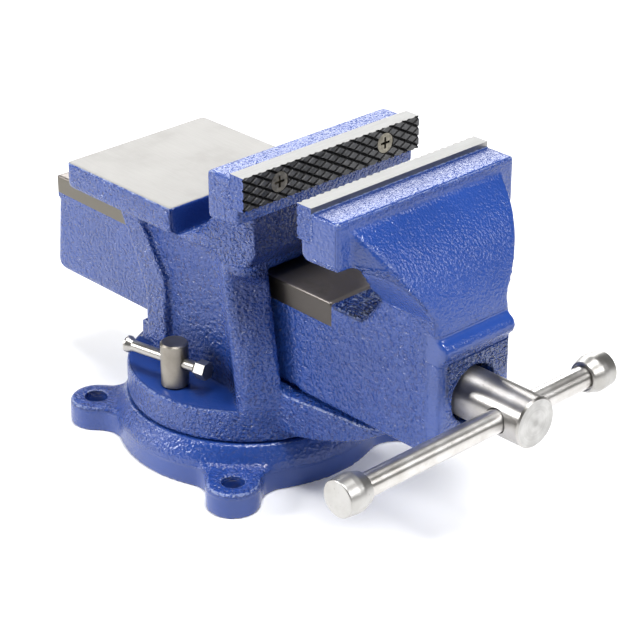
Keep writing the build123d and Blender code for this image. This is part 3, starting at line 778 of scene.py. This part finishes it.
def jaw_plate_steel(name, grip, outward):
    """A jaw plate: dark grooved face, ground top edge and painted ends."""
    look = Shader(name)
    depth = look.math("MULTIPLY", look.math("SUBTRACT", grip, look.x), outward)
    face = look.step(depth, groove_depth + 0.5, groove_depth + 0.2)
    groove = look.step(depth, 0.06, 0.3)
    wear = look.noise(5.0, detail=4.0, roughness=0.6)
    flats = look.colour(wear, (0.35, dark_flat), (0.7, worn_flat))
    dark = look.mix(groove, flats, groove_black)
    ground = look.step(look.z, jaw_top - 0.12, jaw_top - 0.04)
    lines = look.noise(1.2, detail=3.0, at=look.stretched(2.0, 0.1, 1.0))
    bright = look.colour(lines, (0.3, ground_dull), (0.7, ground_light))
    ends = look.step(look.math("ABSOLUTE", look.y), jaw_half - 0.12, jaw_half - 0.04)
    colour = look.mix(face, plate_steel, dark)
    colour = look.mix(ground, colour, bright)
    blue, rough_paint, painted_bump = paint(look, plate_end_grain)
    look.set(Base_Color=look.mix(ends, colour, blue))
    shine = look.blend(ground, look.blend(face, 1.0, 0.55), 0.35)
    look.set(Metallic=look.math("MULTIPLY", look.math("SUBTRACT", 1.0, ends), shine))
    rough = look.blend(ground, look.blend(wear, 0.30, 0.5), 0.58)
    look.set(Roughness=look.blend(ends, rough, rough_paint))
    look.set(Normal=look.either_way(ends, look.bump(look.noise(0.8), 0.03), painted_bump))
    return look.material


def plain_steel(name, colour, rough):
    """Plated or plain steel of small fasteners, with blotches."""
    look = Shader(name)
    blotch = look.noise(2.5, detail=4.0, roughness=0.65)
    dark = tuple(0.55 * value for value in colour)
    look.set(Base_Color=look.colour(blotch, (0.35, dark), (0.62, colour)), Metallic=1.0)
    look.set(Roughness=look.blend(blotch, rough + 0.12, rough - 0.06))
    look.set(Normal=look.bump(look.noise(0.7), 0.02))
    return look.material


def dress(material, *names):
    """Gives CAD nodes one material."""
    for name in names:
        slots = nodes[name].data.materials
        slots.clear()
        slots.append(material)


def area_light(name, at, aim, size, power):
    """A soft rectangular lamp, in metres and watts."""
    data = bpy.data.lights.new(name, "AREA")
    data.shape = "RECTANGLE"
    data.size, data.size_y = size
    data.energy = power
    lamp = bpy.data.objects.new(name, data)
    lamp.location = at
    lamp.rotation_euler = (Vector(aim) - Vector(at)).to_track_quat("-Z", "Y").to_euler()
    scene.collection.objects.link(lamp)


def studio():
    """White floor, pale surroundings and soft lamps."""
    world = bpy.data.worlds.new("studio")
    world.use_nodes = True
    background = world.node_tree.nodes["Background"]
    background.inputs["Color"].default_value = (1.0, 1.0, 1.0, 1)
    background.inputs["Strength"].default_value = world_light
    scene.world = world
    scene.view_settings.view_transform = "Standard"

    half = floor_half
    mesh = bpy.data.meshes.new("floor")
    corners = [(-half, -half, 0), (half, -half, 0), (half, half, 0), (-half, half, 0)]
    mesh.from_pydata(corners, [], [(0, 1, 2, 3)])
    floor = bpy.data.objects.new("floor", mesh)
    scene.collection.objects.link(floor)
    look = Shader("white floor")
    look.set(Base_Color=look.colour(look.noise(400.0), (0.3, floor_dull), (0.7, floor_light)))
    far = look.step(look.distance(look.x, look.y), floor_near, floor_far)
    look.set(Roughness=0.7, Emission_Color=(1, 1, 1, 1))
    look.set(Emission_Strength=look.blend(far, near_glow, far_glow))
    mesh.materials.append(look.material)

    for lamp in lamps:
        area_light(*lamp)


def camera():
    """The camera at the photograph's place."""
    turn, rise, roll = (math.radians(angle) for angle in (camera_azimuth, camera_elevation, camera_roll))
    back = Vector((math.sin(turn) * math.cos(rise), -math.cos(turn) * math.cos(rise), math.sin(rise)))
    right = (-back).cross(Vector((0, 0, 1))).normalized()
    up = right.cross(-back)
    right, up = (math.cos(roll) * right + math.sin(roll) * up, math.cos(roll) * up - math.sin(roll) * right)
    data = bpy.data.cameras.new("camera")
    data.lens = camera_lens
    data.sensor_width = camera_sensor
    data.clip_start = camera_near
    data.clip_end = camera_far
    made = bpy.data.objects.new("camera", data)
    made.matrix_world = Matrix((right, up, back)).transposed().to_4x4()
    made.location = (Vector(camera_target) + camera_distance * back) * mm
    scene.collection.objects.link(made)
    scene.camera = made


def dress_castings():
    """Soft copies of the three castings, painted and partly bare."""
    # The jaws' paint carries painted shade; the base's does not
    fixed = casting("fixed_jaw_body", "fixed_jaw", fixed_passes, fixed_grain,
                    painted_shade_at=fixed_painted_shade, seat=fixed_plate_back, shape_at=fixed_shape)
    fixed.data.materials.append(paint_and_steel("fixed jaw paint", anvil_bare, anvil_steel, dull_anvil_steel,
                                                shine=0.35, rough=0.62, with_painted_shade=True))
    moving = casting("moving_jaw", "moving_jaw", moving_passes, moving_grain,
                     painted_shade_at=moving_painted_shade, seat=moving_plate_back)
    moving.data.materials.append(paint_and_steel("moving jaw paint", ways_bare, ways_steel, dull_ways_steel,
                                                 shine=0.9, rough=0.42, with_painted_shade=True))
    base = casting("swivel_base", "base", base_passes, base_grain)
    base.data.materials.append(paint_and_steel("base paint", worn_specks, ways_steel, dull_ways_steel,
                                               shine=0.9, rough=0.42))


def dress_steel():
    """Materials of the plates, the spindle with its handle, the locks and the fasteners."""
    dress(jaw_plate_steel("fixed plate steel", fixed_grip, 1), "fixed_jaw_plate")
    dress(jaw_plate_steel("moving plate steel", moving_grip, -1), "moving_jaw_plate")
    dress(turned_steel("spindle steel", "X", tint=(0.70, 0.69, 0.68), rough=0.34, ring_depth=0.03, drawn=0.8,
                       end_at=spindle_height), "spindle")
    dress(turned_steel("handle steel", "Y", tint=(0.92, 0.91, 0.9), rough=0.27, ring_depth=0.03, drawn=0.6),
          "handle_bar")
    dress(turned_steel("cap steel", "Y", tint=(0.70, 0.70, 0.69), rough=0.32),
          "handle_cap_left", "handle_cap_right")
    dress(turned_steel("lock nut steel", "Z", tint=(0.41, 0.385, 0.345), rough=0.34),
          "lock_nut_left", "lock_nut_right")
    dress(turned_steel("lock bar steel", "X", tint=(0.6, 0.59, 0.57), rough=0.28),
          "lock_bar_left", "lock_bar_right")
    dress(plain_steel("screw steel", screw_steel, 0.36), "fixed_plate_screws", "moving_plate_screws")
    dress(plain_steel("nut iron", nut_iron, 0.5), "main_nut")
    dress(plain_steel("fastener steel", fastener_steel, 0.36), "nut_bolt", "nut_bolt_washer", "thrust_washer",
          "keeper_washer", "return_spring", "split_pin", "lock_stud_left", "lock_stud_right")


def main():
    studio()
    camera()
    dress_castings()
    dress_steel()


main()
